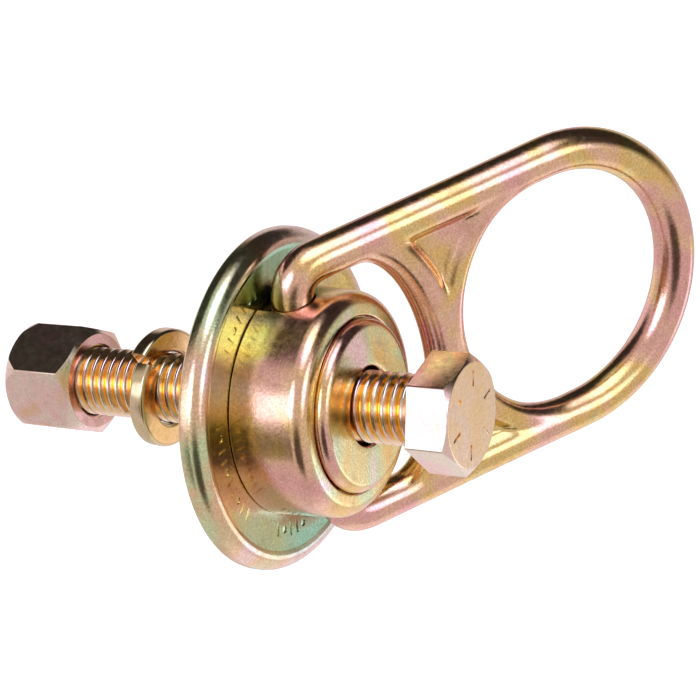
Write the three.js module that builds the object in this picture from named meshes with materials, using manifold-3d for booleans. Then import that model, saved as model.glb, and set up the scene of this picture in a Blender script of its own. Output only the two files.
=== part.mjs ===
// Swivel hoist ring: a round base flange that bolts to a structure, a housing that
// swivels on it, and a forged D-ring that pivots in the housing.
// Millimetres, +Z along the bolt from the structure towards the bolt head.
// The origin is the centre of the flange's mounting face, and X is the D-ring's pivot axis.
import * as THREE from 'three';
import { mergeVertices } from 'three/addons/utils/BufferGeometryUtils.js';
import Module from 'manifold-3d';

// ---------- driving dimensions ----------

const INCH = 25.4;
const GAP = 0.3; // clearance between pieces that touch on the real object

// base flange: a 3 inch dished disc with a rounded rim
const FLANGE_RADIUS = 1.5 * INCH;
const FLANGE_FLOOR_Z = 4.2;
const FLANGE_RIM_Z = 5.4;
const RIM_ROUNDING = 3.2;
const RIM_LIP_RADIUS = 34.9;
const FLANGE_DISH_RADIUS = 32.6;
const BACK_ROUNDING = 1;

// swivel housing: 2 inches across its base, drawn in a little towards its rounded front edge
const HOUSING_RADIUS = INCH;
const HOUSING_FRONT_RADIUS = 24.8;
const HOUSING_FRONT_Z = 21.8;
const HOUSING_ROUNDING = 3.4;
const HOUSING_BACK_ROUNDING = 0.5;

// flanged bushing: a 1 1/2 inch disc on a tube with an 11/16 inch hole
const DISC_RADIUS = 0.75 * INCH;
const DISC_BACK_Z = 20.4;
const DISC_FRONT_Z = 24.3;
const DISC_ROUNDING = 2.2;
const HOLE_ROUNDING = 0.6;
const HOLE_RADIUS = (11 / 32) * INCH;
const TUBE_RADIUS = 11.6;
const TUBE_END_Z = 0.4;

// pieces between the bushing and the housing
const WASHER_THICKNESS = 0.8;
const SLEEVE_WALL = 1.4;
const LOWER_WASHER_RADII = [14.4, 23.0];
const UPPER_WASHER_RADII = [13.9, 18.6];

// retaining ring on the bushing's tail, in a recess of the mounting face
const BACK_RECESS_RADIUS = 16;
const BACK_RECESS_DEPTH = 1.7;
const RETAINER_THICKNESS = 0.8;
const RETAINER_RADII = [11.0, 14.6];
const RETAINER_OPENING = 5; // width of the gap between its ends
const GROOVE_RADIUS = 10.7;
const GROOVE_SLACK = 0.5; // how much taller the groove is than the ring in it

// D-ring: a forged bar bent to an eye, two legs and two trunnions
const PIVOT_Z = 10.2;
const TILT = THREE.MathUtils.degToRad(60); // lean of the D-ring from the bolt axis, towards +Y
const BAR_RADIUS = 4.75;
const TRUNNION_RADIUS = 4.95;
const TRUNNION_END = 15.8; // distance of the trunnion's inner end from the bolt axis
const TRUNNION_SHOULDER = 27;
const TRUNNION_END_CHAMFER = 0.8;
const TRUNNION_TAPER = 2.5; // length over which the trunnion blends into the bar
const LEG_OFFSET = 31.4; // half the distance between the legs' centre lines at the pivot
const BEND_RADIUS = 8;
const EYE_HEIGHT = 69.3; // pivot axis to the eye's centre
const EYE_RADIUS = 32.6; // centre line of the eye's bar
const SILL_RADIUS = 32.9; // centre line of the thinner bar that closes the eye towards the housing
const SILL_BAR_RADIUS = 3.6;
const ARCH_BASE = 16; // the arch bar is half an ellipse standing on the legs at this height
const ARCH_RISE = 17.9;
const ARCH_BAR_RADIUS = 4.3;
const WEB_THICKNESS = 2.4;
const WEB_CORNER_ANGLE = THREE.MathUtils.degToRad(15); // where the web's upper corners end inside the legs

// bolt: 5/8-11 UNC, 4 inches long, with a hex thick nut and a split lock washer
const THREAD_RADIUS = (5 / 16) * INCH;
const BOLT_LENGTH = 4 * INCH;
const HEAD_ACROSS_FLATS = (29 / 32) * INCH; // the small end of the size that a 15/16 inch wrench takes
const NUT_ACROSS_FLATS = (15 / 16) * INCH;
const HEAD_HEIGHT = (25 / 64) * INCH;
const HEAD_BEARING_Z = 38.8;
const TIP_CHAMFER = 1.4;
const NUT_HEIGHT = (23 / 32) * INCH;
const NUT_FRONT_Z = -48.8;
const NUT_COUNTERSINK = 1.1; // how much wider and how deep
const HEX_CHAMFER_ANGLE = THREE.MathUtils.degToRad(30);
const LOCK_WASHER_WIDTH = 5.3;
const LOCK_WASHER_THICKNESS = (5 / 32) * INCH;
const LOCK_WASHER_Z = -29.2; // middle of its thickness
const LOCK_WASHER_RISE = 2.4; // axial offset between its two cut ends
const LOCK_WASHER_SLIT = 9; // degrees left open between its ends
const LOCK_WASHER_LEAN = THREE.MathUtils.degToRad(4); // it hangs loosely on the bolt

// turns about the bolt axis, in degrees, of the pieces that can take any angle
const HEAD_TURN = 6;
const NUT_TURN = 25;
const SLIT_TURN = 212;
const LEAN_TURN = THREE.MathUtils.degToRad(28);

const ROUND_STEPS = 48;
const BAR_SIDES = 12;
const EDGE_STEPS = 2;
const ROUNDING_STEPS = 5;
const OVERLAP = 1; // how far a cutter or a joined piece reaches past the face it meets

// ---------- solids ----------

const wasm = await Module();
wasm.setup();

// A closed three.js geometry as a manifold solid, for cutting and joining.
function solidOf(geometry) {
  const bare = geometry.clone();
  bare.deleteAttribute('normal');
  bare.deleteAttribute('uv');
  const merged = mergeVertices(bare, 1e-4);
  const index = merged.index.array;
  const triangles = [];
  for (let i = 0; i < index.length; i += 3) {
    const [a, b, c] = [index[i], index[i + 1], index[i + 2]];
    if (a !== b && b !== c && c !== a) {
      triangles.push(a, b, c);
    }
  }
  const mesh = new wasm.Mesh({
    numProp: 3,
    vertProperties: new Float32Array(merged.attributes.position.array),
    triVerts: new Uint32Array(triangles),
  });
  return new wasm.Manifold(mesh);
}

function geometryOf(solid) {
  const mesh = solid.getMesh();
  const geometry = new THREE.BufferGeometry();
  geometry.setAttribute('position', new THREE.BufferAttribute(mesh.vertProperties, 3));
  geometry.setIndex(new THREE.BufferAttribute(mesh.triVerts, 1));
  geometry.computeVertexNormals();
  return geometry;
}

// A solid of revolution about Z. The outline runs counter-clockwise as [radius, z] corners.
function turned(outline, steps = ROUND_STEPS) {
  const points = [...outline, outline[0]].map(([radius, z]) => new THREE.Vector2(radius, z));
  const geometry = new THREE.LatheGeometry(points, steps);
  geometry.rotateX(Math.PI / 2);
  return solidOf(geometry);
}

// Corners along an arc about [radius, z], from one angle to another in degrees.
function arc(radius, z, rounding, from, to, steps) {
  const corners = [];
  for (let i = 0; i <= steps; i += 1) {
    const angle = THREE.MathUtils.degToRad(from + ((to - from) * i) / steps);
    corners.push([radius + rounding * Math.cos(angle), z + rounding * Math.sin(angle)]);
  }
  return corners;
}

function ring([inner, outer], fromZ, toZ) {
  return turned([[inner, fromZ], [outer, fromZ], [outer, toZ], [inner, toZ]]);
}

function cylinder(radius, fromZ, toZ) {
  return turned([[0, fromZ], [radius, fromZ], [radius, toZ], [0, toZ]]);
}

// A round bar along a curve, with flat ends.
function bar(curve, radius, steps) {
  const section = new THREE.Shape();
  section.absarc(0, 0, radius, 0, 2 * Math.PI);
  const options = { steps, extrudePath: curve, curveSegments: BAR_SIDES / 2 };
  return solidOf(new THREE.ExtrudeGeometry(section, options));
}

// An outline drawn in the XZ plane, as thick as given along Y.
function plate(shape, thickness) {
  const options = { depth: thickness, bevelEnabled: false, curveSegments: BAR_SIDES };
  const geometry = new THREE.ExtrudeGeometry(shape, options);
  geometry.translate(0, 0, -thickness / 2);
  geometry.rotateX(Math.PI / 2);
  return solidOf(geometry);
}

// A hexagonal prism with two of its flats facing +-X, whose corners are chamfered at the chosen ends.
function hexPrism(acrossFlats, fromZ, toZ, chamferLow, chamferHigh) {
  const cornerRadius = acrossFlats / Math.sqrt(3);
  const prism = new THREE.CylinderGeometry(cornerRadius, cornerRadius, toZ - fromZ, 6);
  prism.rotateX(Math.PI / 2);
  prism.translate(0, 0, (fromZ + toZ) / 2);
  const flatRadius = acrossFlats / 2;
  const reach = cornerRadius + OVERLAP;
  const drop = (reach - flatRadius) * Math.tan(HEX_CHAMFER_ANGLE);
  const low = chamferLow ? [[flatRadius, fromZ], [reach, fromZ + drop]] : [[reach, fromZ]];
  const high = chamferHigh ? [[reach, toZ - drop], [flatRadius, toZ]] : [[reach, toZ]];
  return solidOf(prism).intersect(turned([[0, fromZ], ...low, ...high, [0, toZ]]));
}

// ---------- materials ----------

function plated(color, roughness) {
  return new THREE.MeshStandardMaterial({ color, roughness, metalness: 1 });
}

const yellowZinc = plated(0xd9b98a, 0.32);
const paleZinc = plated(0xd8c3a6, 0.38);
const ringZinc = plated(0xcfae86, 0.3);
const bronze = plated(0xa87438, 0.45);
const springSteel = plated(0x77746c, 0.4);

// ---------- pieces ----------

function baseFlange() {
  const body = turned([
    [TUBE_RADIUS + GAP, 0],
    ...arc(FLANGE_RADIUS - BACK_ROUNDING, BACK_ROUNDING, BACK_ROUNDING, -90, 0, EDGE_STEPS),
    ...arc(FLANGE_RADIUS - RIM_ROUNDING, FLANGE_RIM_Z - RIM_ROUNDING, RIM_ROUNDING, 0, 90, ROUNDING_STEPS),
    [RIM_LIP_RADIUS, FLANGE_RIM_Z],
    [FLANGE_DISH_RADIUS, FLANGE_FLOOR_Z],
    [TUBE_RADIUS + GAP, FLANGE_FLOOR_Z],
  ]);
  const backRecess = cylinder(BACK_RECESS_RADIUS, -OVERLAP, BACK_RECESS_DEPTH);
  const [inner, outer] = LOWER_WASHER_RADII;
  const seatRadii = [inner - GAP, outer + GAP];
  const washerSeat = ring(seatRadii, FLANGE_FLOOR_Z - WASHER_THICKNESS, FLANGE_FLOOR_Z + OVERLAP);
  return body.subtract(backRecess).subtract(washerSeat);
}

// heights of the stacked pieces' lower faces, with a gap between neighbours
const retainerZ = BACK_RECESS_DEPTH - GAP / 2 - RETAINER_THICKNESS;
const lowerWasherZ = FLANGE_FLOOR_Z - WASHER_THICKNESS + GAP;
const housingBackZ = lowerWasherZ + WASHER_THICKNESS + GAP;
const upperWasherZ = DISC_BACK_Z - GAP - WASHER_THICKNESS;
const housingSeatZ = upperWasherZ - GAP;
const housingBore = TUBE_RADIUS + GAP + SLEEVE_WALL + GAP;

function swivelHousing() {
  const seatRadius = DISC_RADIUS + GAP;
  const frontEdge = HOUSING_FRONT_RADIUS - HOUSING_ROUNDING;
  const backEdge = HOUSING_RADIUS - HOUSING_BACK_ROUNDING;
  const body = turned([
    [housingBore, housingBackZ],
    ...arc(backEdge, housingBackZ + HOUSING_BACK_ROUNDING, HOUSING_BACK_ROUNDING, -90, 0, EDGE_STEPS),
    ...arc(frontEdge, HOUSING_FRONT_Z - HOUSING_ROUNDING, HOUSING_ROUNDING, 0, 90, ROUNDING_STEPS),
    [seatRadius, HOUSING_FRONT_Z],
    [seatRadius, housingSeatZ],
    [housingBore, housingSeatZ],
  ]);
  return [0, Math.PI].reduce((rest, turn) => rest.subtract(trunnionSlot(turn)), body);
}

// The slot is open towards the flange and has a round closed end around the trunnion.
function trunnionSlot(turn) {
  const radius = TRUNNION_RADIUS + GAP;
  const inner = TRUNNION_END - GAP;
  const outer = HOUSING_RADIUS + OVERLAP;
  const shape = new THREE.Shape();
  shape.moveTo(-radius, housingBackZ - OVERLAP);
  shape.lineTo(radius, housingBackZ - OVERLAP);
  shape.absarc(0, PIVOT_Z, radius, 0, Math.PI);
  const options = { depth: outer - inner, bevelEnabled: false, curveSegments: 16 };
  const geometry = new THREE.ExtrudeGeometry(shape, options);
  geometry.rotateX(Math.PI / 2);
  geometry.rotateZ(Math.PI / 2);
  geometry.translate(inner, 0, 0);
  geometry.rotateZ(turn);
  return solidOf(geometry);
}

function flangedBushing() {
  const grooveTop = retainerZ + RETAINER_THICKNESS + GROOVE_SLACK / 2;
  const grooveBottom = retainerZ - GROOVE_SLACK / 2;
  return turned([
    [HOLE_RADIUS, TUBE_END_Z],
    [TUBE_RADIUS, TUBE_END_Z],
    [TUBE_RADIUS, grooveBottom],
    [GROOVE_RADIUS, grooveBottom],
    [GROOVE_RADIUS, grooveTop],
    [TUBE_RADIUS, grooveTop],
    [TUBE_RADIUS, DISC_BACK_Z],
    [DISC_RADIUS, DISC_BACK_Z],
    ...arc(DISC_RADIUS - DISC_ROUNDING, DISC_FRONT_Z - DISC_ROUNDING, DISC_ROUNDING, 0, 90, ROUNDING_STEPS),
    ...arc(HOLE_RADIUS + HOLE_ROUNDING, DISC_FRONT_Z - HOLE_ROUNDING, HOLE_ROUNDING, 90, 180, EDGE_STEPS),
  ]);
}

// The D-ring's own plane is XZ here, with the pivot axis on X and the eye towards +Z.
function dRing() {
  const frame = bar(ringPath(), BAR_RADIUS, 80);
  const sill = bar(ellipsePath(SILL_RADIUS, SILL_RADIUS, EYE_HEIGHT, 195, 345), SILL_BAR_RADIUS, 16);
  const arch = bar(ellipsePath(LEG_OFFSET, ARCH_RISE, ARCH_BASE, 8, 172), ARCH_BAR_RADIUS, 16);
  const trunnions = [0, Math.PI].map(trunnion);
  return [sill, arch, web(), ...trunnions].reduce((whole, piece) => whole.add(piece), frame);
}

const at = (x, z) => new THREE.Vector3(x, 0, z);

// Part of an ellipse about [0, height], between two angles in degrees from +X towards +Z.
function ellipsePath(radiusX, radiusZ, height, from, to) {
  return new EllipsePath(radiusX, radiusZ, height, from, to);
}

class EllipsePath extends THREE.Curve {
  constructor(radiusX, radiusZ, height, from, to) {
    super();
    Object.assign(this, { radiusX, radiusZ, height, from, to });
  }

  getPoint(t, target = new THREE.Vector3()) {
    const angle = THREE.MathUtils.degToRad(this.from + (this.to - this.from) * t);
    return target.set(this.radiusX * Math.cos(angle), 0, this.height + this.radiusZ * Math.sin(angle));
  }
}

// The bar's centre line, from one trunnion round the eye to the other.
function ringPath() {
  const path = new THREE.CurvePath();
  const foot = LEG_OFFSET - BEND_RADIUS;
  const start = TRUNNION_END + 2 * OVERLAP;
  path.add(new THREE.LineCurve3(at(start, 0), at(foot, 0)));
  path.add(new THREE.QuadraticBezierCurve3(at(foot, 0), at(LEG_OFFSET, 0), at(LEG_OFFSET, BEND_RADIUS)));
  path.add(new THREE.LineCurve3(at(LEG_OFFSET, BEND_RADIUS), at(EYE_RADIUS, EYE_HEIGHT)));
  path.add(ellipsePath(EYE_RADIUS, EYE_RADIUS, EYE_HEIGHT, 0, 180));
  path.add(new THREE.LineCurve3(at(-EYE_RADIUS, EYE_HEIGHT), at(-LEG_OFFSET, BEND_RADIUS)));
  path.add(new THREE.QuadraticBezierCurve3(at(-LEG_OFFSET, BEND_RADIUS), at(-LEG_OFFSET, 0), at(-foot, 0)));
  path.add(new THREE.LineCurve3(at(-foot, 0), at(-start, 0)));
  return path;
}

function trunnion(turn) {
  const solid = turned([
    [0, TRUNNION_END],
    [TRUNNION_RADIUS - TRUNNION_END_CHAMFER, TRUNNION_END],
    [TRUNNION_RADIUS, TRUNNION_END + TRUNNION_END_CHAMFER],
    [TRUNNION_RADIUS, TRUNNION_SHOULDER - TRUNNION_TAPER],
    [BAR_RADIUS - GAP, TRUNNION_SHOULDER],
    [0, TRUNNION_SHOULDER],
  ], 2 * BAR_SIDES);
  return solid.rotate([0, 90, 0]).rotate([0, 0, THREE.MathUtils.radToDeg(turn)]);
}

// The thin web fills the space between the arch bar, the legs and the eye.
function web() {
  const shape = new THREE.Shape();
  shape.moveTo(-LEG_OFFSET, ARCH_BASE);
  shape.absellipse(0, ARCH_BASE, LEG_OFFSET, ARCH_RISE, Math.PI, 0, true);
  shape.absarc(0, EYE_HEIGHT, SILL_RADIUS, -WEB_CORNER_ANGLE, WEB_CORNER_ANGLE - Math.PI, true);
  shape.closePath();
  return plate(shape, WEB_THICKNESS);
}

function mountingBolt() {
  const tipZ = HEAD_BEARING_Z - BOLT_LENGTH;
  const shank = turned([
    [0, tipZ],
    [THREAD_RADIUS - TIP_CHAMFER, tipZ],
    [THREAD_RADIUS, tipZ + TIP_CHAMFER],
    [THREAD_RADIUS, HEAD_BEARING_Z + OVERLAP],
    [0, HEAD_BEARING_Z + OVERLAP],
  ]);
  return shank.add(hexPrism(HEAD_ACROSS_FLATS, HEAD_BEARING_Z, HEAD_BEARING_Z + HEAD_HEIGHT, false, true));
}

// A hex thick nut, chamfered at both ends, with a countersunk bore that clears the thread.
function hexNut() {
  const backZ = NUT_FRONT_Z - NUT_HEIGHT;
  const bore = THREAD_RADIUS + GAP;
  const mouth = bore + NUT_COUNTERSINK + OVERLAP;
  const hole = turned([
    [0, backZ - OVERLAP],
    [mouth, backZ - OVERLAP],
    [bore, backZ + NUT_COUNTERSINK],
    [bore, NUT_FRONT_Z - NUT_COUNTERSINK],
    [mouth, NUT_FRONT_Z + OVERLAP],
    [0, NUT_FRONT_Z + OVERLAP],
  ]);
  return hexPrism(NUT_ACROSS_FLATS, backZ, NUT_FRONT_Z, true, true).subtract(hole);
}

// One turn of square spring wire, whose cut ends stand apart along the axis.
function lockWasher() {
  const inner = THREAD_RADIUS + GAP;
  const outer = inner + LOCK_WASHER_WIDTH;
  const half = LOCK_WASHER_THICKNESS / 2;
  const corners = [[inner, -half], [outer, -half], [outer, half], [inner, half]];
  const slit = THREE.MathUtils.degToRad(LOCK_WASHER_SLIT);
  const steps = ROUND_STEPS;
  const positions = [];
  const triangles = [0, 1, 2, 0, 2, 3];
  for (let i = 0; i <= steps; i += 1) {
    const angle = slit / 2 + ((2 * Math.PI - slit) * i) / steps;
    const lift = LOCK_WASHER_RISE * (0.5 - i / steps);
    for (const [radius, z] of corners) {
      positions.push(radius * Math.cos(angle), radius * Math.sin(angle), z + lift);
    }
  }
  for (let i = 0; i < steps; i += 1) {
    for (let side = 0; side < 4; side += 1) {
      const [a, b] = [4 * i + side, 4 * i + ((side + 1) % 4)];
      triangles.push(a, a + 4, b, b, a + 4, b + 4);
    }
  }
  const last = 4 * steps;
  triangles.push(last, last + 2, last + 1, last, last + 3, last + 2);
  const geometry = new THREE.BufferGeometry();
  geometry.setAttribute('position', new THREE.Float32BufferAttribute(positions, 3));
  geometry.setIndex(triangles);
  return solidOf(geometry);
}

// The ring snaps into the bushing's groove and has a gap between its ends.
function retainingRing() {
  const openingDepth = BACK_RECESS_DEPTH + 2 * OVERLAP;
  const opening = new THREE.BoxGeometry(BACK_RECESS_RADIUS, RETAINER_OPENING, openingDepth);
  opening.translate(BACK_RECESS_RADIUS / 2, 0, retainerZ);
  return ring(RETAINER_RADII, retainerZ, retainerZ + RETAINER_THICKNESS).subtract(solidOf(opening));
}

// ---------- assembly ----------

function node(name, solid, material) {
  const mesh = new THREE.Mesh(geometryOf(solid), material);
  mesh.name = name;
  return mesh;
}

const hoistRing = new THREE.Group();
hoistRing.add(node('base_flange', baseFlange(), yellowZinc));
hoistRing.add(node('flanged_bushing', flangedBushing(), yellowZinc));
hoistRing.add(node('retaining_ring', retainingRing(), springSteel));
hoistRing.add(node('swivel_housing', swivelHousing(), yellowZinc));

const lowerWasher = ring(LOWER_WASHER_RADII, lowerWasherZ, lowerWasherZ + WASHER_THICKNESS);
hoistRing.add(node('lower_thrust_washer', lowerWasher, bronze));
const upperWasher = ring(UPPER_WASHER_RADII, upperWasherZ, upperWasherZ + WASHER_THICKNESS);
hoistRing.add(node('upper_thrust_washer', upperWasher, bronze));
const sleeveInner = TUBE_RADIUS + GAP;
const sleeve = ring([sleeveInner, sleeveInner + SLEEVE_WALL], housingBackZ, housingSeatZ - GAP);
hoistRing.add(node('bearing_sleeve', sleeve, bronze));

const ringMesh = node('d_ring', dRing(), ringZinc);
ringMesh.position.z = PIVOT_Z;
ringMesh.rotation.x = -TILT;
hoistRing.add(ringMesh);

const bolt = node('mounting_bolt', mountingBolt(), yellowZinc);
bolt.rotation.z = THREE.MathUtils.degToRad(HEAD_TURN);
hoistRing.add(bolt);
const nut = node('hex_nut', hexNut(), paleZinc);
nut.rotation.z = THREE.MathUtils.degToRad(NUT_TURN);
hoistRing.add(nut);
const washer = node('lock_washer', lockWasher(), springSteel);
washer.rotation.z = THREE.MathUtils.degToRad(SLIT_TURN);
const leaning = new THREE.Group();
leaning.add(washer);
leaning.position.z = LOCK_WASHER_Z;
leaning.rotateOnAxis(new THREE.Vector3(Math.sin(LEAN_TURN), Math.cos(LEAN_TURN), 0), LOCK_WASHER_LEAN);
hoistRing.add(leaning);

export default hoistRing;
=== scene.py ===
"""A swivel hoist ring: base flange, swivelling housing, pivoting D-ring, bolt, lock washer and nut.

Everything is in the shared frame: +Z runs along the bolt towards its head, the origin is the
centre of the flange's mounting face, and X is the D-ring's pivot axis.
Sizes below are millimetres and are turned to metres when a mesh is made.
"""

import math

import bmesh
import bpy
from mathutils import Matrix, Vector


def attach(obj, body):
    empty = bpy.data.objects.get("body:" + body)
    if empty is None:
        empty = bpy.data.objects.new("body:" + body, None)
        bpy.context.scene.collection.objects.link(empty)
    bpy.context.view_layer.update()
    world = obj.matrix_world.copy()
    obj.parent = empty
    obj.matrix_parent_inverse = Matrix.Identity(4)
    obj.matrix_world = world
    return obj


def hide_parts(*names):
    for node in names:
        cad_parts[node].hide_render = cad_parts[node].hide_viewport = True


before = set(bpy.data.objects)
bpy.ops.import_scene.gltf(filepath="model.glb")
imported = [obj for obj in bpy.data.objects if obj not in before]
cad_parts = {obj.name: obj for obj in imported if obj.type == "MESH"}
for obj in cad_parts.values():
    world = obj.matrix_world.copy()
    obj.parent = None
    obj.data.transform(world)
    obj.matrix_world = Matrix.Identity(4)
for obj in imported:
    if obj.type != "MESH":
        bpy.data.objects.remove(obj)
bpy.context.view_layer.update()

MM = 0.001

# ---------- driving dimensions ----------

FLANGE_RADIUS = 38.1
FLANGE_FLOOR_Z = 4.2
FLANGE_SEAT_RADIUS = 23.3
FLANGE_SEAT_DEPTH = 0.8
FLANGE_BOSS_RADIUS = 14.1
FLANGE_RIM_Z = 5.35
RIM_ROUNDING = 3.2
RIM_LIP_RADIUS = 34.9
BACK_RECESS_RADIUS = 16.0
BACK_RECESS_DEPTH = 1.7
DISH_RADIUS = 32.6
DISH_FOOT_RADIUS = 26.0
DISH_RISE = 0.75
LIP_ROUNDING = 0.6

# The stamped marks: where each arc of them starts in degrees and how many it has.
MARKS_RADIUS = 29.0
MARKS_RISE = 0.31
MARK_PITCH = 5.2
MARK_ARCS = [(190, 7), (252, 10), (326, 5)]
MARK_LENGTH = 3.0
MARK_WIDTH = 0.75
MARK_DEPTH = 0.5
DOT_RADIUS = 0.9

HOUSING_RADIUS = 25.4
HOUSING_FRONT_RADIUS = 24.8
HOUSING_BACK_Z = 4.8
SKIRT_Z = 4.35
SKIRT_BORE = 23.7
HOUSING_FRONT_Z = 21.8
HOUSING_ROUNDING = 3.4
HOUSING_BORE = 13.6
HOUSING_SEAT_Z = 19.0

DISC_RADIUS = 19.05
DISC_BACK_Z = 20.4
DISC_FRONT_Z = 24.3
DISC_ROUNDING = 2.2
HOLE_RADIUS = 8.73
TUBE_RADIUS = 11.6
TUBE_END_Z = 0.4
GROOVE_RADIUS = 10.7
GROOVE_TOP_Z = 1.8
GAP = 0.3

# Inner and outer radius, lower and upper face of the flat rings inside.
LOWER_WASHER = (14.4, 23.0, 3.7, 4.5)
UPPER_WASHER = (13.9, 18.6, 19.3, 20.1)
SLEEVE = (11.9, 13.3, 4.8, 18.7)
RETAINER = (11.0, 14.6, 0.75, 1.55)
RETAINER_OPENING = 5.0

PIVOT_Z = 10.2
LEAN = math.radians(60)
BAR_RADIUS = 4.75
CROWN_EXTRA = 0.3
CROWN_FROM_Z = 40.0
CROWN_BLEND = 50.0
FORGE_SHRINK = 0.1
FORGE_VOXEL = 0.40
TRUNNION_RADIUS = 4.95
TRUNNION_END = 15.8
TRUNNION_SHOULDER = 27.0
LEG_OFFSET = 31.4
BEND_RADIUS = 8.0
EYE_HEIGHT = 69.3
EYE_RADIUS = 32.6
SILL_RADIUS = 32.9
SILL_BAR_RADIUS = 3.6
ARCH_BASE = 16.0
ARCH_RISE = 17.9
ARCH_BAR_RADIUS = 4.3
WEB_THICKNESS = 2.4

THREAD_RADIUS = 7.9375
THREAD_ROOT_RADIUS = 6.75
THREAD_PITCH = 25.4 / 11
BOLT_TIP_Z = -62.8
HEAD_BEARING_Z = 38.8
HEAD_FACE_Z = 48.72
HEAD_ACROSS_FLATS = 23.02
GRADE_MARK_RADIUS = 7.9
GRADE_MARK_LENGTH = 3.4
NUT_ACROSS_FLATS = 23.81
NUT_BACK_Z = -67.06
NUT_FRONT_Z = -48.8
NUT_COUNTERSINK = 0.5

# Each chamfer: how far inside the flats it starts, its rounding and its final slope.
HEAD_CHAMFER = (0.2, 0.8, math.radians(30))
NUT_FRONT_CHAMFER = (0.8, 0.5, math.radians(38))
NUT_BACK_CHAMFER = (0.75, 1.8, math.radians(70))
HEAD_TURN = math.radians(6)
NUT_TURN = math.radians(25)

WASHER_Z = -29.2
WASHER_WIDTH = 5.3
WASHER_THICKNESS = 3.97
WASHER_RISE = 2.4
WASHER_SLIT = math.radians(9)
WASHER_LEAN = math.radians(4)
WASHER_LEAN_TURN = math.radians(28)
SLIT_TURN = math.radians(212)
WASHER_ROUNDING = 0.85

# Well below the nut in every pose.
FLOOR_Z = -160.0


# ---------- meshes ----------

def link(obj):
    """obj, put into the scene."""
    bpy.context.scene.collection.objects.link(obj)
    return obj


def mesh_object(name, bm):
    """An object from a bmesh drawn in millimetres, smooth except at sharp edges."""
    bmesh.ops.recalc_face_normals(bm, faces=bm.faces)
    bmesh.ops.scale(bm, vec=(MM, MM, MM), verts=bm.verts)
    mesh = bpy.data.meshes.new(name)
    bm.to_mesh(mesh)
    bm.free()
    mesh.shade_smooth()
    return link(bpy.data.objects.new(name, mesh))


def arc(radius, z, rounding, start, end, steps=8):
    """Points of a fillet about (radius, z), between two angles in degrees."""
    points = []
    for i in range(steps + 1):
        angle = math.radians(start + (end - start) * i / steps)
        points.append((radius + rounding * math.cos(angle), z + rounding * math.sin(angle)))
    return points


def densified(outline, step):
    """The closed outline with long straight runs cut to pieces, so that shading stays smooth."""
    points = []
    for (r0, z0), (r1, z1) in zip(outline, outline[1:] + outline[:1]):
        pieces = max(1, int(math.hypot(r1 - r0, z1 - z0) / step))
        points += [(r0 + (r1 - r0) * i / pieces, z0 + (z1 - z0) * i / pieces) for i in range(pieces)]
    return points


def turned(name, outline, steps=192, step=1.2):
    """A solid of revolution about Z from a closed outline of (radius, z) points."""
    outline = densified(outline, step)
    bm = bmesh.new()
    rows = []
    for i in range(steps):
        angle = 2 * math.pi * i / steps
        direction = (math.cos(angle), math.sin(angle))
        rows.append([bm.verts.new((r * direction[0], r * direction[1], z)) for r, z in outline])
    count = len(outline)
    for i in range(steps):
        here, following = rows[i], rows[(i + 1) % steps]
        for j in range(count):
            after = (j + 1) % count
            bm.faces.new((here[j], following[j], following[after], here[after]))
    bmesh.ops.remove_doubles(bm, verts=bm.verts, dist=1e-4)
    return mesh_object(name, bm)


def swept(name, points, radii, sides=40):
    """A round bar along points of the XZ plane, with a radius at each point and closed ends."""
    bm = bmesh.new()
    rows = []
    count = len(points)
    for i, (point, radius) in enumerate(zip(points, radii)):
        ahead = points[min(i + 1, count - 1)]
        behind = points[max(i - 1, 0)]
        along = Vector((ahead[0] - behind[0], 0, ahead[1] - behind[1])).normalized()
        across = along.cross(Vector((0, 1, 0)))
        row = []
        for k in range(sides):
            angle = 2 * math.pi * k / sides
            offset = across * (radius * math.cos(angle)) + Vector((0, radius * math.sin(angle), 0))
            row.append(bm.verts.new(Vector((point[0], 0, point[1])) + offset))
        rows.append(row)
    for here, following in zip(rows, rows[1:]):
        for k in range(sides):
            after = (k + 1) % sides
            bm.faces.new((here[k], following[k], following[after], here[after]))
    bm.faces.new(rows[0])
    bm.faces.new(rows[-1])
    return mesh_object(name, bm)


def apply_modifiers(obj):
    """obj with its modifiers turned into plain mesh."""
    depsgraph = bpy.context.evaluated_depsgraph_get()
    mesh = bpy.data.meshes.new_from_object(obj.evaluated_get(depsgraph))
    old = obj.data
    obj.modifiers.clear()
    obj.data = mesh
    bpy.data.meshes.remove(old)
    return obj


def boolean(obj, cutter, operation="DIFFERENCE"):
    """obj cut with another object, which is used up."""
    modifier = obj.modifiers.new("cut", "BOOLEAN")
    modifier.operation = operation
    modifier.solver = "MANIFOLD"
    modifier.object = cutter
    apply_modifiers(obj)
    bpy.data.objects.remove(cutter)
    return obj


def joined(obj, other):
    """obj with the other's mesh added to it."""
    bm = bmesh.new()
    bm.from_mesh(obj.data)
    bm.from_mesh(other.data)
    bm.to_mesh(obj.data)
    bm.free()
    bpy.data.objects.remove(other)
    return obj


def bevel(obj, width, segments=3, angle=35):
    """obj with rounded edges wherever its faces meet at more than the angle in degrees."""
    modifier = obj.modifiers.new("bevel", "BEVEL")
    modifier.width = width * MM
    modifier.segments = segments
    modifier.limit_method = "ANGLE"
    modifier.angle_limit = math.radians(angle)
    modifier.harden_normals = False
    return apply_modifiers(obj)


def sharpen(obj, angle=30):
    """Smooth shading that breaks at sharp edges and leaves large flat faces flat."""
    obj.data.shade_smooth()
    obj.data.set_sharp_from_angle(angle=math.radians(angle))
    weighted = obj.modifiers.new("weighted", "WEIGHTED_NORMAL")
    weighted.mode = "FACE_AREA"
    weighted.weight = 90
    weighted.keep_sharp = True
    return apply_modifiers(obj)


def place(obj, matrix):
    """obj with its mesh moved, so that the object itself stays at the origin."""
    obj.data.transform(matrix)
    return obj


# ---------- base flange ----------

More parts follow.
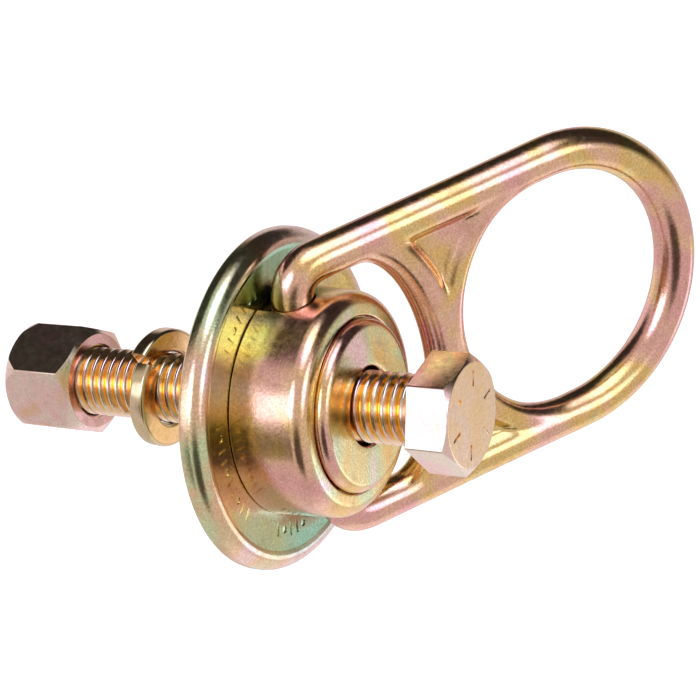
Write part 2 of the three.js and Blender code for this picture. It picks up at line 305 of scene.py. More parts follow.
def flange_marks():
    """Small stamped dots and dashes in the flange's floor, in place of the maker's stamping."""
    bm = bmesh.new()
    middle = Matrix.Translation((MARKS_RADIUS, 0, FLANGE_FLOOR_Z + MARKS_RISE))
    for start, count in MARK_ARCS:
        for i in range(count):
            spot = Matrix.Rotation(math.radians(start + MARK_PITCH * i), 4, "Z") @ middle
            if i % 3 == 1:
                bmesh.ops.create_cone(bm, cap_ends=True, segments=24, radius1=DOT_RADIUS,
                                      radius2=DOT_RADIUS, depth=MARK_DEPTH, matrix=spot)
            else:
                spot = spot @ Matrix.Diagonal((MARK_LENGTH, MARK_WIDTH, MARK_DEPTH, 1))
                bmesh.ops.create_cube(bm, size=1.0, matrix=spot)
    return mesh_object("marks", bm)


def base_flange():
    """A disc with a round rim, a gently dished floor, a seat for the washer and a recess behind."""
    inner = TUBE_RADIUS + GAP
    floor = FLANGE_FLOOR_Z
    seat = floor - FLANGE_SEAT_DEPTH
    outline = [(BACK_RECESS_RADIUS, 0.0)]
    outline += arc(FLANGE_RADIUS - 1, 1, 1, -90, 0, 4)
    outline += arc(FLANGE_RADIUS - RIM_ROUNDING, FLANGE_RIM_Z - RIM_ROUNDING, RIM_ROUNDING, 0, 90, 14)
    outline += arc(RIM_LIP_RADIUS - 0.3, FLANGE_RIM_Z - LIP_ROUNDING, LIP_ROUNDING, 80, 120, 4)
    outline += arc(DISH_RADIUS + 0.8, floor + DISH_RISE + LIP_ROUNDING, LIP_ROUNDING, -60, -84, 4)
    outline += [(DISH_FOOT_RADIUS, floor)]
    outline += [(FLANGE_SEAT_RADIUS + 0.3, floor), (FLANGE_SEAT_RADIUS, floor - 0.15)]
    outline += [(FLANGE_SEAT_RADIUS, seat), (FLANGE_BOSS_RADIUS, seat)]
    outline += [(FLANGE_BOSS_RADIUS, floor - 0.1), (inner, floor - 0.1)]
    outline += [(inner, BACK_RECESS_DEPTH), (BACK_RECESS_RADIUS - 0.3, BACK_RECESS_DEPTH)]
    obj = turned("base_flange_body", outline, steps=256)
    boolean(obj, flange_marks())
    return sharpen(obj, 32)


# ---------- swivel housing ----------

def slot_cutter(turn):
    """A slot open towards the flange, with a round closed end about the trunnion."""
    radius = TRUNNION_RADIUS + GAP
    bm = bmesh.new()
    section = [(-radius, HOUSING_BACK_Z - 2)]
    section += [(-radius * math.cos(math.pi * i / 40), PIVOT_Z + radius * math.sin(math.pi * i / 40))
                for i in range(41)]
    section += [(radius, HOUSING_BACK_Z - 2)]
    near = [bm.verts.new((TRUNNION_END - GAP, y, z)) for y, z in section]
    far = [bm.verts.new((HOUSING_RADIUS + 3, y, z)) for y, z in section]
    bm.faces.new(near)
    bm.faces.new(far)
    for i in range(len(section)):
        after = (i + 1) % len(section)
        bm.faces.new((near[i], far[i], far[after], near[after]))
    bmesh.ops.rotate(bm, verts=bm.verts, matrix=Matrix.Rotation(turn, 3, "Z"))
    return mesh_object("slot", bm)


def swivel_housing():
    """A drum with a bore for the sleeve, a seat for the bushing's disc and two trunnion slots."""
    seat = DISC_RADIUS + GAP
    front_edge = HOUSING_FRONT_RADIUS - HOUSING_ROUNDING
    outline = [(HOUSING_BORE, HOUSING_BACK_Z), (SKIRT_BORE - 0.1, HOUSING_BACK_Z)]
    outline += [(SKIRT_BORE, SKIRT_Z)]
    outline += arc(HOUSING_RADIUS - 0.3, SKIRT_Z + 0.3, 0.3, -90, 0, 4)
    outline += arc(front_edge, HOUSING_FRONT_Z - HOUSING_ROUNDING, HOUSING_ROUNDING, 0, 90, 16)
    outline += arc(seat + 0.5, HOUSING_FRONT_Z - 0.5, 0.5, 90, 180, 5)
    outline += [(seat, HOUSING_SEAT_Z), (HOUSING_BORE, HOUSING_SEAT_Z)]
    obj = turned("swivel_housing_body", outline, steps=256)
    for turn in (0.0, math.pi):
        boolean(obj, slot_cutter(turn))
    bevel(obj, 0.35, 3, 50)
    return sharpen(obj, 35)


# ---------- flanged bushing and the pieces inside ----------

def flanged_bushing():
    """A tube through the housing and the flange, with a thick disc at its front."""
    outline = [(HOLE_RADIUS, TUBE_END_Z), (GROOVE_RADIUS, TUBE_END_Z), (GROOVE_RADIUS, GROOVE_TOP_Z)]
    outline += [(TUBE_RADIUS, GROOVE_TOP_Z), (TUBE_RADIUS, DISC_BACK_Z)]
    outline += arc(DISC_RADIUS - 0.3, DISC_BACK_Z + 0.3, 0.3, -90, 0, 3)
    outline += arc(DISC_RADIUS - DISC_ROUNDING, DISC_FRONT_Z - DISC_ROUNDING, DISC_ROUNDING, 0, 90, 16)
    outline += arc(HOLE_RADIUS + 0.6, DISC_FRONT_Z - 0.6, 0.6, 90, 180, 8)
    return sharpen(turned("flanged_bushing_body", outline, steps=224), 35)


def flat_ring(name, sizes, rounding=0.12):
    """A washer or sleeve with broken edges, from its two radii and the heights of its two faces."""
    inner, outer, bottom, top = sizes
    outline = arc(inner + rounding, bottom + rounding, rounding, 180, 270, 3)
    outline += arc(outer - rounding, bottom + rounding, rounding, 270, 360, 3)
    outline += arc(outer - rounding, top - rounding, rounding, 0, 90, 3)
    outline += arc(inner + rounding, top - rounding, rounding, 90, 180, 3)
    return sharpen(turned(name, outline, steps=160), 60)


def retaining_ring():
    """A snap ring in the bushing's groove, with an opening between its ends."""
    obj = flat_ring("retaining_ring_body", RETAINER)
    bm = bmesh.new()
    opening = Matrix.Translation((14, 0, 1)) @ Matrix.Diagonal((12, RETAINER_OPENING, 6, 1))
    bmesh.ops.create_cube(bm, size=1.0, matrix=opening)
    boolean(obj, mesh_object("opening", bm))
    return sharpen(obj, 40)


def lower_thrust_washer():
    return flat_ring("lower_thrust_washer_body", LOWER_WASHER)


def upper_thrust_washer():
    return flat_ring("upper_thrust_washer_body", UPPER_WASHER)


def bearing_sleeve():
    return flat_ring("bearing_sleeve_body", SLEEVE)


# ---------- D-ring ----------

def line(start, end, steps):
    """Points from start towards end, without the end itself."""
    return [(start[0] + (end[0] - start[0]) * i / steps, start[1] + (end[1] - start[1]) * i / steps)
            for i in range(steps)]


def ellipse(radius_x, radius_z, height, start, end, steps):
    """Points of an ellipse about (0, height), between angles in degrees from +X towards +Z."""
    points = []
    for i in range(steps + 1):
        angle = math.radians(start + (end - start) * i / steps)
        points.append((radius_x * math.cos(angle), height + radius_z * math.sin(angle)))
    return points


def bend(corner, start, end, steps):
    """Points of a bend that leaves start towards the corner and arrives at end from it."""
    points = []
    for i in range(steps):
        t = i / steps
        x, z = [(1 - t) ** 2 * start[k] + 2 * t * (1 - t) * corner[k] + t * t * end[k] for k in (0, 1)]
        points.append((x, z))
    return points


def ring_path():
    """The bar's centre line from one trunnion round the eye to the other."""
    foot = LEG_OFFSET - BEND_RADIUS
    half = line((TRUNNION_END + 2, 0), (foot, 0), 6)
    half += bend((LEG_OFFSET, 0), (foot, 0), (LEG_OFFSET, BEND_RADIUS), 16)
    half += line((LEG_OFFSET, BEND_RADIUS), (EYE_RADIUS, EYE_HEIGHT), 40)
    crown = ellipse(EYE_RADIUS, EYE_RADIUS, EYE_HEIGHT, 0, 180, 120)
    return half + crown + [(-x, z) for x, z in reversed(half)]


def eased(t):
    """A soft step from 0 at t = 0 to 1 at t = 1."""
    t = min(1.0, max(0.0, t))
    return t * t * (3 - 2 * t)


def sill():
    """The bar that closes the eye towards the housing, thinner in its middle."""
    path = []
    radii = []
    steps = 120
    thick = BAR_RADIUS - FORGE_SHRINK
    for i in range(steps + 1):
        angle = 180 + 180 * i / steps
        slimness = eased(min(angle - 180, 360 - angle) / 40)
        centre = EYE_RADIUS + (SILL_RADIUS - EYE_RADIUS) * slimness
        path += ellipse(centre, centre, EYE_HEIGHT, angle, angle, 1)[:1]
        radii.append(thick + (SILL_BAR_RADIUS - thick) * slimness)
    return swept("sill", path, radii)


def d_ring():
    """The forged ring: its parts are run together and their corners smoothed to fillets."""
    path = ring_path()
    swelling = [CROWN_EXTRA * eased((z - CROWN_FROM_Z) / CROWN_BLEND) for _, z in path]
    radii = [BAR_RADIUS - FORGE_SHRINK + extra for extra in swelling]
    bar = swept("d_ring_body", path, radii)
    arch = ellipse(LEG_OFFSET, ARCH_RISE, ARCH_BASE, 2, 178, 90)
    joined(bar, swept("arch", arch, [ARCH_BAR_RADIUS + FORGE_SHRINK] * len(arch)))
    joined(bar, sill())
    joined(bar, web())
    for side in (1, -1):
        joined(bar, trunnion(side))
    remesh = bar.modifiers.new("forge", "REMESH")
    remesh.mode = "VOXEL"
    remesh.voxel_size = FORGE_VOXEL * MM
    smooth = bar.modifiers.new("fillet", "SMOOTH")
    smooth.factor = 0.5
    smooth.iterations = 60
    apply_modifiers(bar)
    bar.data.shade_smooth()
    lean = Matrix.Translation((0, 0, PIVOT_Z * MM)) @ Matrix.Rotation(-LEAN, 4, "X")
    return place(bar, lean)


def web():
    """The thin web between the arch, the legs and the eye."""
    outline = ellipse(LEG_OFFSET, ARCH_RISE, ARCH_BASE, 180, 0, 60)
    outline += ellipse(SILL_RADIUS, SILL_RADIUS, EYE_HEIGHT, -15, -165, 60)
    bm = bmesh.new()
    low = [bm.verts.new((x, -WEB_THICKNESS / 2, z)) for x, z in outline]
    high = [bm.verts.new((x, WEB_THICKNESS / 2, z)) for x, z in outline]
    bm.faces.new(low)
    bm.faces.new(high)
    for i in range(len(outline)):
        after = (i + 1) % len(outline)
        bm.faces.new((low[i], low[after], high[after], high[i]))
    return mesh_object("web", bm)


def trunnion(side):
    """The pin at one foot of the ring, chamfered at its end and tapering into the bar."""
    outline = [(0.0, TRUNNION_END), (TRUNNION_RADIUS - 0.8, TRUNNION_END)]
    outline += [(TRUNNION_RADIUS, TRUNNION_END + 0.8), (TRUNNION_RADIUS, TRUNNION_SHOULDER - 2.5)]
    outline += [(BAR_RADIUS - 0.3, TRUNNION_SHOULDER), (0.0, TRUNNION_SHOULDER)]
    obj = turned("trunnion", outline, steps=64)
    return place(obj, Matrix.Rotation(math.radians(90 * side), 4, "Y"))


# ---------- bolt, nut and lock washer ----------

def thread_profile():
    """(share of the pitch, share of the depth) of one thread, with a flat crest and a round root."""
    return [(0.0, 1.0), (0.15, 1.0), (0.21, 0.93), (0.46, 0.16), (0.51, 0.03), (0.57, 0.0),
            (0.63, 0.03), (0.68, 0.16), (0.93, 0.93), (0.99, 1.0)]


def threaded_rod(from_z, to_z, root, crest, segments=72, chamfer=1.5):
    """A right-handed helical thread about Z as a closed bmesh, chamfered at its lower end."""
    profile = thread_profile()
    turns = int(math.ceil((to_z - from_z) / THREAD_PITCH)) + 2
    bm = bmesh.new()
    rows = []
    for i in range(segments + 1):
        share = i / segments
        angle = 2 * math.pi * share
        row = []
        for turn in range(turns):
            for along, depth in profile:
                z = from_z + (turn - 1 + along + share) * THREAD_PITCH
                z_kept = min(max(z, from_z), to_z)
                radius = root + (crest - root) * depth
                radius = min(radius, crest - chamfer + max(0.0, z_kept - from_z))
                row.append((radius, angle, z_kept))
        rows.append(row)
    grid = [[bm.verts.new((r * math.cos(a), r * math.sin(a), z)) for r, a, z in row] for row in rows]
    for here, following in zip(grid, grid[1:]):
        for j in range(len(here) - 1):
            bm.faces.new((here[j], following[j], following[j + 1], here[j + 1]))
    for end in (0, -1):
        centre = bm.verts.new((0, 0, from_z if end == 0 else to_z))
        for here, following in zip(grid, grid[1:]):
            bm.faces.new((here[end], following[end], centre))
    bmesh.ops.remove_doubles(bm, verts=bm.verts, dist=1e-4)
    bmesh.ops.dissolve_degenerate(bm, edges=bm.edges, dist=1e-5)
    return bm


def hex_block(name, across_flats, bottom, top, chamfer_low, chamfer_high):
    """A hexagonal prism whose corners are cut back to a rounded cone at the chosen ends."""
    corner = across_flats / math.sqrt(3)
    flat = across_flats / 2 - 0.25
    reach = corner + 1
    bm = bmesh.new()
    rows = []
    for z in (bottom, top):
        angles = [math.radians(30 + 60 * k) for k in range(6)]
        rows.append([bm.verts.new((corner * math.cos(a), corner * math.sin(a), z)) for a in angles])
    bm.faces.new(rows[0])
    bm.faces.new(rows[1])
    for k in range(6):
        after = (k + 1) % 6
        bm.faces.new((rows[0][k], rows[0][after], rows[1][after], rows[1][k]))
    block = mesh_object(name, bm)
    bevel(block, 0.3, 3, 40)
    low = chamfered_end(flat, reach, chamfer_low)
    high = chamfered_end(flat, reach, chamfer_high)
    outline = [(0.0, bottom)] + [(r, bottom + depth) for r, depth in low]
    outline += [(r, top - depth) for r, depth in reversed(high)] + [(0.0, top)]
    return boolean(block, turned("cone", outline, steps=128, step=50), "INTERSECT")


def chamfered_end(flat, reach, chamfer):
    """(radius, depth below the end face) along a rounded conical chamfer."""
    if not chamfer:
        return [(reach, 0.0)]
    inset, rounding, slope = chamfer
    points = []
    steps = 8
    for i in range(steps + 1):
        angle = slope * i / steps
        points.append((flat - inset + rounding * math.sin(angle), rounding * (1 - math.cos(angle))))
    radius, depth = points[-1]
    return points + [(reach, depth + (reach - radius) * math.tan(slope))]


def grade_marks():
    """Six short dashes that are cut into the bolt head's face, one towards each corner."""
    bm = bmesh.new()
    for k in range(6):
        spot = Matrix.Rotation(math.radians(30 + 60 * k), 4, "Z")
        spot = spot @ Matrix.Translation((GRADE_MARK_RADIUS, 0, HEAD_FACE_Z))
        spot = spot @ Matrix.Diagonal((GRADE_MARK_LENGTH, MARK_WIDTH, MARK_DEPTH, 1))
        bmesh.ops.create_cube(bm, size=1.0, matrix=spot)
    return mesh_object("grade", bm)


def mounting_bolt():
    """A hex head with grade marks on a fully threaded shank."""
    head = hex_block("mounting_bolt_body", HEAD_ACROSS_FLATS, HEAD_BEARING_Z, HEAD_FACE_Z, None,
                     HEAD_CHAMFER)
    boolean(head, grade_marks())
    bevel(head, 0.12, 2, 25)
    thread = threaded_rod(BOLT_TIP_Z, HEAD_BEARING_Z + 0.4, THREAD_ROOT_RADIUS, THREAD_RADIUS - 0.02)
    joined(head, mesh_object("thread", thread))
    place(head, Matrix.Rotation(HEAD_TURN, 4, "Z"))
    return sharpen(head, 24)


def hex_nut():
    """A thick nut with chamfers of two kinds and a countersunk plain bore."""
    block = hex_block("hex_nut_body", NUT_ACROSS_FLATS, NUT_BACK_Z, NUT_FRONT_Z, NUT_BACK_CHAMFER,
                      NUT_FRONT_CHAMFER)
    bore = THREAD_RADIUS + GAP
    mouth = bore + NUT_COUNTERSINK + 1
    core = [(0.0, NUT_BACK_Z - 1), (mouth, NUT_BACK_Z - 1), (bore, NUT_BACK_Z + NUT_COUNTERSINK)]
    core += [(bore, NUT_FRONT_Z - NUT_COUNTERSINK), (mouth, NUT_FRONT_Z + 1), (0.0, NUT_FRONT_Z + 1)]
    boolean(block, turned("core", core, steps=128, step=50))
    place(block, Matrix.Rotation(NUT_TURN, 4, "Z"))
    return sharpen(block, 24)


def lock_washer():
    """One turn of square spring wire with rounded corners, its cut ends standing apart."""
    inner = THREAD_RADIUS + GAP
    outer = inner + WASHER_WIDTH
    half = WASHER_THICKNESS / 2
    rounding = WASHER_ROUNDING
    section = arc(inner + rounding, rounding - half, rounding, 180, 270, 4)
    section += arc(outer - rounding, rounding - half, rounding, 270, 360, 4)
    section += arc(outer - rounding, half - rounding, rounding, 0, 90, 4)
    section += arc(inner + rounding, half - rounding, rounding, 90, 180, 4)
    steps = 160
    bm = bmesh.new()
    rows = []
    for i in range(steps + 1):
        angle = WASHER_SLIT / 2 + (2 * math.pi - WASHER_SLIT) * i / steps
        lift = WASHER_RISE * (0.5 - i / steps)
        x, y = math.cos(angle), math.sin(angle)
        rows.append([bm.verts.new((r * x, r * y, z + lift)) for r, z in section])
    for here, following in zip(rows, rows[1:]):
        for k in range(len(section)):
            after = (k + 1) % len(section)
            bm.faces.new((here[k], following[k], following[after], here[after]))
    bm.faces.new(rows[0])
    bm.faces.new(rows[-1])
    obj = mesh_object("lock_washer_body", bm)
    lean_axis = Vector((math.sin(WASHER_LEAN_TURN), math.cos(WASHER_LEAN_TURN), 0))
    seat = Matrix.Translation((0, 0, WASHER_Z * MM)) @ Matrix.Rotation(WASHER_LEAN, 4, lean_axis)
    return sharpen(place(obj, seat @ Matrix.Rotation(SLIT_TURN, 4, "Z")), 40)


# ---------- materials ----------

class Nodes:
    """A few shorthands for building a node tree."""

    def __init__(self, name):
        self.material = bpy.data.materials.new(name)
        self.material.use_nodes = True
        self.tree = self.material.node_tree
        self.tree.nodes.clear()

    def add(self, kind, inputs=None, **settings):
        node = self.tree.nodes.new(kind)
        for key, value in settings.items():
            setattr(node, key, value)
        for key, value in (inputs or {}).items():
            if isinstance(value, bpy.types.NodeSocket):
                self.tree.links.new(value, node.inputs[key])
            else:
                node.inputs[key].default_value = value
        return node

    def noise(self, vector, scale, detail=3.0, roughness=0.55, distortion=0.0):
        inputs = {"Vector": vector, "Scale": scale, "Detail": detail, "Roughness": roughness,
                  "Distortion": distortion}
        return self.add("ShaderNodeTexNoise", inputs).outputs["Fac"]

    def ramp(self, factor, stops):
        node = self.add("ShaderNodeValToRGB", {"Fac": factor})
        elements = node.color_ramp.elements
        while len(elements) < len(stops):
            elements.new(0.5)
        for element, (position, colour) in zip(elements, stops):
            element.position = position
            element.color = (*colour, 1)
        return node.outputs["Color"]

    def mix(self, factor, a, b, blend="MIX"):
        node = self.add("ShaderNodeMix", data_type="RGBA", blend_type=blend)
        for socket, value in ((node.inputs[0], factor), (node.inputs[6], a), (node.inputs[7], b)):
            if isinstance(value, bpy.types.NodeSocket):
                self.tree.links.new(value, socket)
            else:
                socket.default_value = value
        return node.outputs[2]

    def math(self, operation, a, b=0.0, clamp=False):
        node = self.add("ShaderNodeMath", operation=operation, use_clamp=clamp)
        for socket, value in zip(node.inputs, (a, b)):
            if isinstance(value, bpy.types.NodeSocket):
                self.tree.links.new(value, socket)
            else:
                socket.default_value = value
        return node.outputs[0]

    def to_range(self, value, low, high, new_low, new_high):
        inputs = {"Value": value, "From Min": low, "From Max": high, "To Min": new_low,
                  "To Max": new_high}
        return self.add("ShaderNodeMapRange", inputs).outputs["Result"]


# Where the colours of plated() change over, in metres: distance along X, distance from the
# bolt's axis at the rim and in the thread, and height.
ENDS_ZONE = (0.008, 0.034)
RIM_ZONE = (0.0338, 0.0356)
GROOVE_ZONE = (0.0070, 0.0078)
TAIL_ZONE = (-0.046, -0.044)
TARNISH = (0.40, 0.25, 0.10)


def shares(nodes, where):
    """Where a point lies: its distance from the bolt's axis and along X, its height, and how far it
    faces along the bolt.
    """
    parts = nodes.add("ShaderNodeSeparateXYZ", {"Vector": where})
    flat = nodes.add("ShaderNodeCombineXYZ", {"X": parts.outputs["X"], "Y": parts.outputs["Y"]})
    length = nodes.add("ShaderNodeVectorMath", {0: flat.outputs["Vector"]}, operation="LENGTH")
    radius = length.outputs["Value"]
    across = nodes.math("ABSOLUTE", parts.outputs["X"])
    normal = nodes.add("ShaderNodeTexCoord").outputs["Normal"]
    facing = nodes.math("ABSOLUTE", nodes.add("ShaderNodeSeparateXYZ", {"Vector": normal}).outputs["Z"])
    return radius, across, parts.outputs["Z"], facing


def plated(name, stops, roughness=0.17, speckle=0.2, drift=42.0, tarnish=0.35, grooves=None, rim=None,
           ends=None, faces=None, tail_faces=None, grain=1.0):
    """Chromated zinc: colour drifts over the piece, with fine speckle and satin unevenness.

    grooves and ends are colours for where the film dried thicker or thinner: in the thread and on
    the flange's two ends along X. rim is a paler green, peach and pink on the flange's rim, partly
    the film's own tint and partly a painted highlight. faces is a colour for faces square to the
    bolt, with tail_faces for such faces on the nut; on the lock washer it is a darker orange that is
    painted shade.
    """
    nodes = Nodes(name)
    where = nodes.add("ShaderNodeTexCoord").outputs["Object"]
    radius, across, height, facing = shares(nodes, where)
    drift_noise = nodes.noise(where, drift, 2.0, 0.5, 0.6)
    colour = nodes.ramp(drift_noise, stops)
    if ends:
        share = nodes.to_range(across, *ENDS_ZONE, -0.25, 1.0)
        share = nodes.math("ADD", share, nodes.to_range(drift_noise, 0.35, 0.65, -0.3, 0.3), clamp=True)
        colour = nodes.mix(share, colour, (*ends, 1))
    # faces: a colour on faces square to the bolt; on the lock washer this is a darker orange, painted
    # shade.
    if faces:
        share = nodes.to_range(facing, 0.90, 0.995, 0.0, 1.0)
        shade = nodes.ramp(drift_noise, faces)
        if tail_faces:
            on_tail = nodes.to_range(height, *TAIL_ZONE, 1.0, 0.0)
            shade = nodes.mix(on_tail, shade, nodes.ramp(drift_noise, tail_faces))
        colour = nodes.mix(share, colour, shade)
    # rim: paler colours on the flange's rim, partly the film's own tint and partly a painted highlight.
    if rim:
        share = nodes.to_range(radius, *RIM_ZONE, 0.0, 0.9)
        colour = nodes.mix(share, colour, nodes.ramp(drift_noise, rim))
    if grooves:
        depth = nodes.to_range(radius, *GROOVE_ZONE, 1.0, 0.0)
        sloped = nodes.to_range(facing, 0.93, 0.97, 1.0, 0.0)
        colour = nodes.mix(nodes.math("MULTIPLY", depth, sloped), colour, (*grooves, 1))
    speck = nodes.noise(where, 1900, 2.0, 0.7)
    speck_shade = nodes.to_range(speck, 0.36, 0.66, 1.0 - speckle, 1.0 + speckle * 0.3)
    grey = nodes.add("ShaderNodeCombineColor", {"Red": speck_shade, "Green": speck_shade,
                                               "Blue": speck_shade}).outputs["Color"]
    colour = nodes.mix(1.0, colour, grey, "MULTIPLY")
    blotch = nodes.noise(where, 190, 4.0, 0.6)
    blotch_amount = nodes.to_range(blotch, 0.54, 0.74, 0.0, tarnish)
    colour = nodes.mix(blotch_amount, colour, (*TARNISH, 1))
    rough_noise = nodes.noise(where, 700, 4.0, 0.6)
    rough = nodes.to_range(rough_noise, 0.3, 0.7, roughness - 0.05, roughness + 0.07)
    fine = nodes.noise(where, 2300, 2.0, 0.6)
    hills = nodes.noise(where, 260, 3.0, 0.5)
    relief = nodes.math("ADD", nodes.math("MULTIPLY", fine, 0.55), hills)
    bump = nodes.add("ShaderNodeBump", {"Strength": 0.7 * grain, "Distance": 0.00005, "Height": relief})
    shader = nodes.add("ShaderNodeBsdfPrincipled",
                       {"Base Color": colour, "Metallic": 1.0, "Roughness": rough,
                        "Normal": bump.outputs["Normal"]})
    nodes.add("ShaderNodeOutputMaterial", {"Surface": shader.outputs["BSDF"]})
    return nodes.material


# Linear colours of the chromate film; on the flange's rim the paler ones also stand in for a painted
# highlight.
GOLD = (0.90, 0.64, 0.24)
PEACH = (0.93, 0.64, 0.42)
ROSE = (0.90, 0.52, 0.47)
LEMON = (0.86, 0.78, 0.38)
PALE_GREEN = (0.70, 0.86, 0.54)
OLIVE = (0.74, 0.68, 0.20)
GREEN = (0.42, 0.76, 0.55)
PINK = (0.96, 0.72, 0.68)
ORANGE = (1.0, 0.58, 0.09)
BRASS = (0.78, 0.62, 0.22)
STRAW = (0.80, 0.68, 0.32)
LIME = (0.70, 0.80, 0.45)
CREAM = (0.88, 0.82, 0.66)

FINISHES = {
    # The flange's rim colours are partly the film's tint and partly a painted highlight.
    "flange_zinc": plated("flange_zinc", [(0.34, OLIVE), (0.48, BRASS), (0.60, STRAW), (0.72, ROSE)],
                          drift=40.0, rim=[(0.35, PALE_GREEN), (0.46, PEACH), (0.55, PINK)],
                          ends=GREEN),
    "body_zinc": plated("body_zinc", [(0.24, LEMON), (0.37, GOLD), (0.47, PEACH), (0.60, ROSE)],
                        drift=60.0, faces=[(0.34, GOLD), (0.47, LEMON), (0.54, LIME), (0.64, PINK)]),
    "ring_zinc": plated("ring_zinc", [(0.26, LEMON), (0.40, GOLD), (0.49, PEACH), (0.63, ROSE)],
                        drift=55.0),
    "fastener_zinc": plated("fastener_zinc", [(0.30, PEACH), (0.42, PINK), (0.56, CREAM), (0.66, PINK)],
                            drift=110.0, grooves=ORANGE, speckle=0.12, grain=0.4, tarnish=0.08,
                            faces=[(0.40, (1.0, 0.76, 0.42)), (0.60, (1.0, 0.80, 0.58))],
                            tail_faces=[(0.38, (0.55, 0.34, 0.25)), (0.62, (0.86, 0.54, 0.52))]),
    # The lock washer is lighter on its rounded sides, a painted highlight, and darker orange on its two
    # faces, painted shade.
    "washer_zinc": plated("washer_zinc", [(0.36, (0.70, 0.62, 0.34)), (0.60, (0.84, 0.68, 0.50))],
                          roughness=0.13, speckle=0.1, grain=0.25, tarnish=0.1,
                          faces=[(0.40, (0.60, 0.38, 0.13)), (0.60, (0.72, 0.48, 0.22))]),
    "spring_steel": plated("spring_steel", [(0.35, (0.30, 0.30, 0.30)), (0.65, (0.42, 0.41, 0.39))],
                           0.34, 0.15, tarnish=0.1),
    "bronze": plated("bronze", [(0.35, (0.55, 0.33, 0.14)), (0.65, (0.68, 0.43, 0.20))],
                     0.36, 0.15, tarnish=0.2),
}


# ---------- the pieces in place ----------

PIECES = [
    (base_flange, "base_flange", "base", "flange_zinc"),
    (swivel_housing, "swivel_housing", "housing", "body_zinc"),
    (flanged_bushing, "flanged_bushing", "base", "body_zinc"),
    (retaining_ring, "retaining_ring", "base", "spring_steel"),
    (lower_thrust_washer, "lower_thrust_washer", "base", "bronze"),
    (upper_thrust_washer, "upper_thrust_washer", "base", "bronze"),
    (bearing_sleeve, "bearing_sleeve", "base", "bronze"),
    (d_ring, "d_ring", "d_ring", "ring_zinc"),
    (mounting_bolt, "mounting_bolt", "bolt", "fastener_zinc"),
    (lock_washer, "lock_washer", "washer", "washer_zinc"),
    (hex_nut, "hex_nut", "nut", "fastener_zinc"),
]

for make, node_name, body, finish in PIECES:
    piece = make()
    piece.data.materials.clear()
    piece.data.materials.append(FINISHES[finish])
    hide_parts(node_name)
    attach(piece, body)


# ---------- camera ----------

def photo_camera():
    """The camera that gives the photograph's view, from the angles of the bolt in its picture."""
    toward = math.radians(29.74)
    dip = math.radians(3.89)
    roll = math.radians(28.60)
    offset = Vector((-16.58, -10.45, -441.27)) * MM
    bolt = Vector((math.cos(dip) * math.cos(toward), -math.sin(dip), math.cos(dip) * math.sin(toward)))
    up = Vector((0, 1, 0))
    up = (up - bolt * up.dot(bolt)).normalized()
    near = up.cross(bolt)
    if near.z < 0:
        near = -near
    upper = up * math.cos(roll) + near * math.sin(roll)
    x_axis = -upper
    y_axis = bolt.cross(x_axis)
    turn = Matrix((x_axis, y_axis, bolt))
    data = bpy.data.cameras.new("camera")
    data.sensor_width = 36.0
    data.lens = 102.4
    data.clip_start = 0.01
    data.clip_end = 20
    camera = link(bpy.data.objects.new("camera", data))
    camera.matrix_world = Matrix.Translation(turn @ -offset) @ turn.to_4x4()
    return camera, turn


camera, to_row = photo_camera()
bpy.context.scene.camera = camera


# ---------- floor, light and backdrop ----------

# The studio round the object, as soft patches of light on a dim grey: where each one stands from
# the camera (azimuth 0 is behind the camera, 90 to its right; elevation), its spread and its light.
ROOM_LIGHT = 0.70
SOFT_PATCHES = [
    ("over the camera", 18, 50, 28, 1.45),
    ("left of the camera", -34, 1, 21, 2.00),
    ("right of the camera", 52, 4, 18, 1.40),
    ("left edge", -60, -4, 16, 1.05),
    ("low on the right", 116, -14, 10, 1.00),
    ("low behind", 150, -45, 40, 0.30),
    ("behind on the left", -130, 15, 28, 0.25),
    ("dark upper right", 92, 40, 42, -0.66),
    ("dark ceiling behind", 140, 66, 36, -0.66),
    ("dark ceiling", -150, 66, 34, -0.45),
    ("dark upper left", -88, 42, 28, -0.66),
    ("dark left behind", -130, 52, 24, -0.55),
    ("dark below the camera", 8, -45, 30, -0.62),
    ("dark low left", -62, -38, 18, -0.45),
]


def direction(azimuth, elevation):
    """A direction in the row frame from angles about the camera."""
    azimuth = math.radians(azimuth)
    elevation = math.radians(elevation)
    level = math.cos(elevation)
    return to_row @ Vector((level * math.sin(azimuth), math.sin(elevation), level * math.cos(azimuth)))


class WorldNodes(Nodes):
    """The same shorthands for the world's node tree."""

    def __init__(self, world):
        self.tree = world.node_tree
        self.tree.nodes.clear()


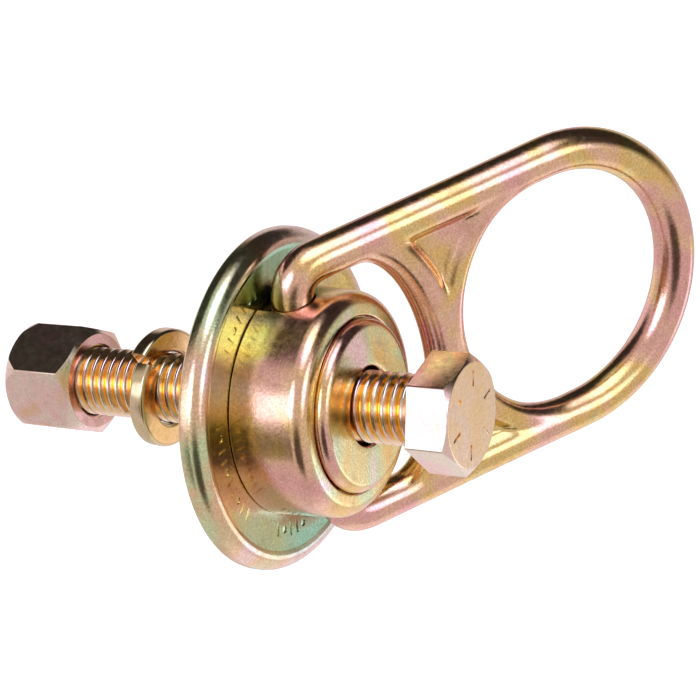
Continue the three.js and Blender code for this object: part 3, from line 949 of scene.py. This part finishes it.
def studio_world():
    """A world of soft light patches, which the metal mirrors; brighter light is cooler."""
    world = bpy.data.worlds.new("studio")
    bpy.context.scene.world = world
    world.use_nodes = True
    nodes = WorldNodes(world)
    look = nodes.add("ShaderNodeTexCoord").outputs["Generated"]
    light = ROOM_LIGHT
    for _, azimuth, elevation, spread, strength in SOFT_PATCHES:
        dot = nodes.add("ShaderNodeVectorMath", operation="DOT_PRODUCT")
        nodes.tree.links.new(look, dot.inputs[0])
        dot.inputs[1].default_value = direction(azimuth, elevation)
        edge = math.cos(math.radians(spread))
        inputs = {"Value": dot.outputs["Value"], "From Min": edge, "From Max": 1.0 - 0.25 * (1.0 - edge),
                  "To Min": 0.0, "To Max": strength}
        patch = nodes.add("ShaderNodeMapRange", inputs, interpolation_type="SMOOTHSTEP")
        light = nodes.math("ADD", patch.outputs["Result"], light)
    light = nodes.math("MAXIMUM", light, 0.03)
    coolness = nodes.to_range(light, 0.1, 2.2, 0.0, 1.0)
    tint = nodes.mix(coolness, (1.0, 0.82, 0.66, 1), (0.98, 0.98, 1.30, 1))
    background = nodes.add("ShaderNodeBackground", {"Color": tint, "Strength": light})
    nodes.add("ShaderNodeOutputWorld", {"Surface": background.outputs["Background"]})


def backdrop_material(name, glow):
    """A matt white that also glows by itself."""
    nodes = Nodes(name)
    shader = nodes.add("ShaderNodeBsdfPrincipled",
                       {"Base Color": (0.8, 0.8, 0.8, 1), "Roughness": 1.0,
                        "Emission Color": (1, 1, 1, 1), "Emission Strength": glow})
    nodes.add("ShaderNodeOutputMaterial", {"Surface": shader.outputs["BSDF"]})
    return nodes.material


def unseen_in_reflections(obj):
    """Turns off obj's visibility to glossy, diffuse and shadow rays, so that only the camera sees it."""
    obj.visible_glossy = False
    obj.visible_diffuse = False
    obj.visible_shadow = False


def floor_and_backdrop():
    """A pale floor in a white tent, which the metal doesn't mirror: it mirrors the studio instead."""
    bm = bmesh.new()
    bmesh.ops.create_circle(bm, cap_ends=True, segments=96, radius=4500)
    floor = mesh_object("floor", bm)
    floor.location = (0, 0, FLOOR_Z * MM)
    floor.data.materials.append(backdrop_material("floor", 0.62))
    unseen_in_reflections(floor)
    bm = bmesh.new()
    bmesh.ops.create_uvsphere(bm, u_segments=64, v_segments=32, radius=4600)
    tent = mesh_object("tent", bm)
    tent.data.materials.append(backdrop_material("tent", 1.0))
    unseen_in_reflections(tent)


floor_and_backdrop()
studio_world()
scene = bpy.context.scene
scene.view_settings.view_transform = "Standard"
scene.view_settings.look = "None"
scene.view_settings.exposure = 0.0
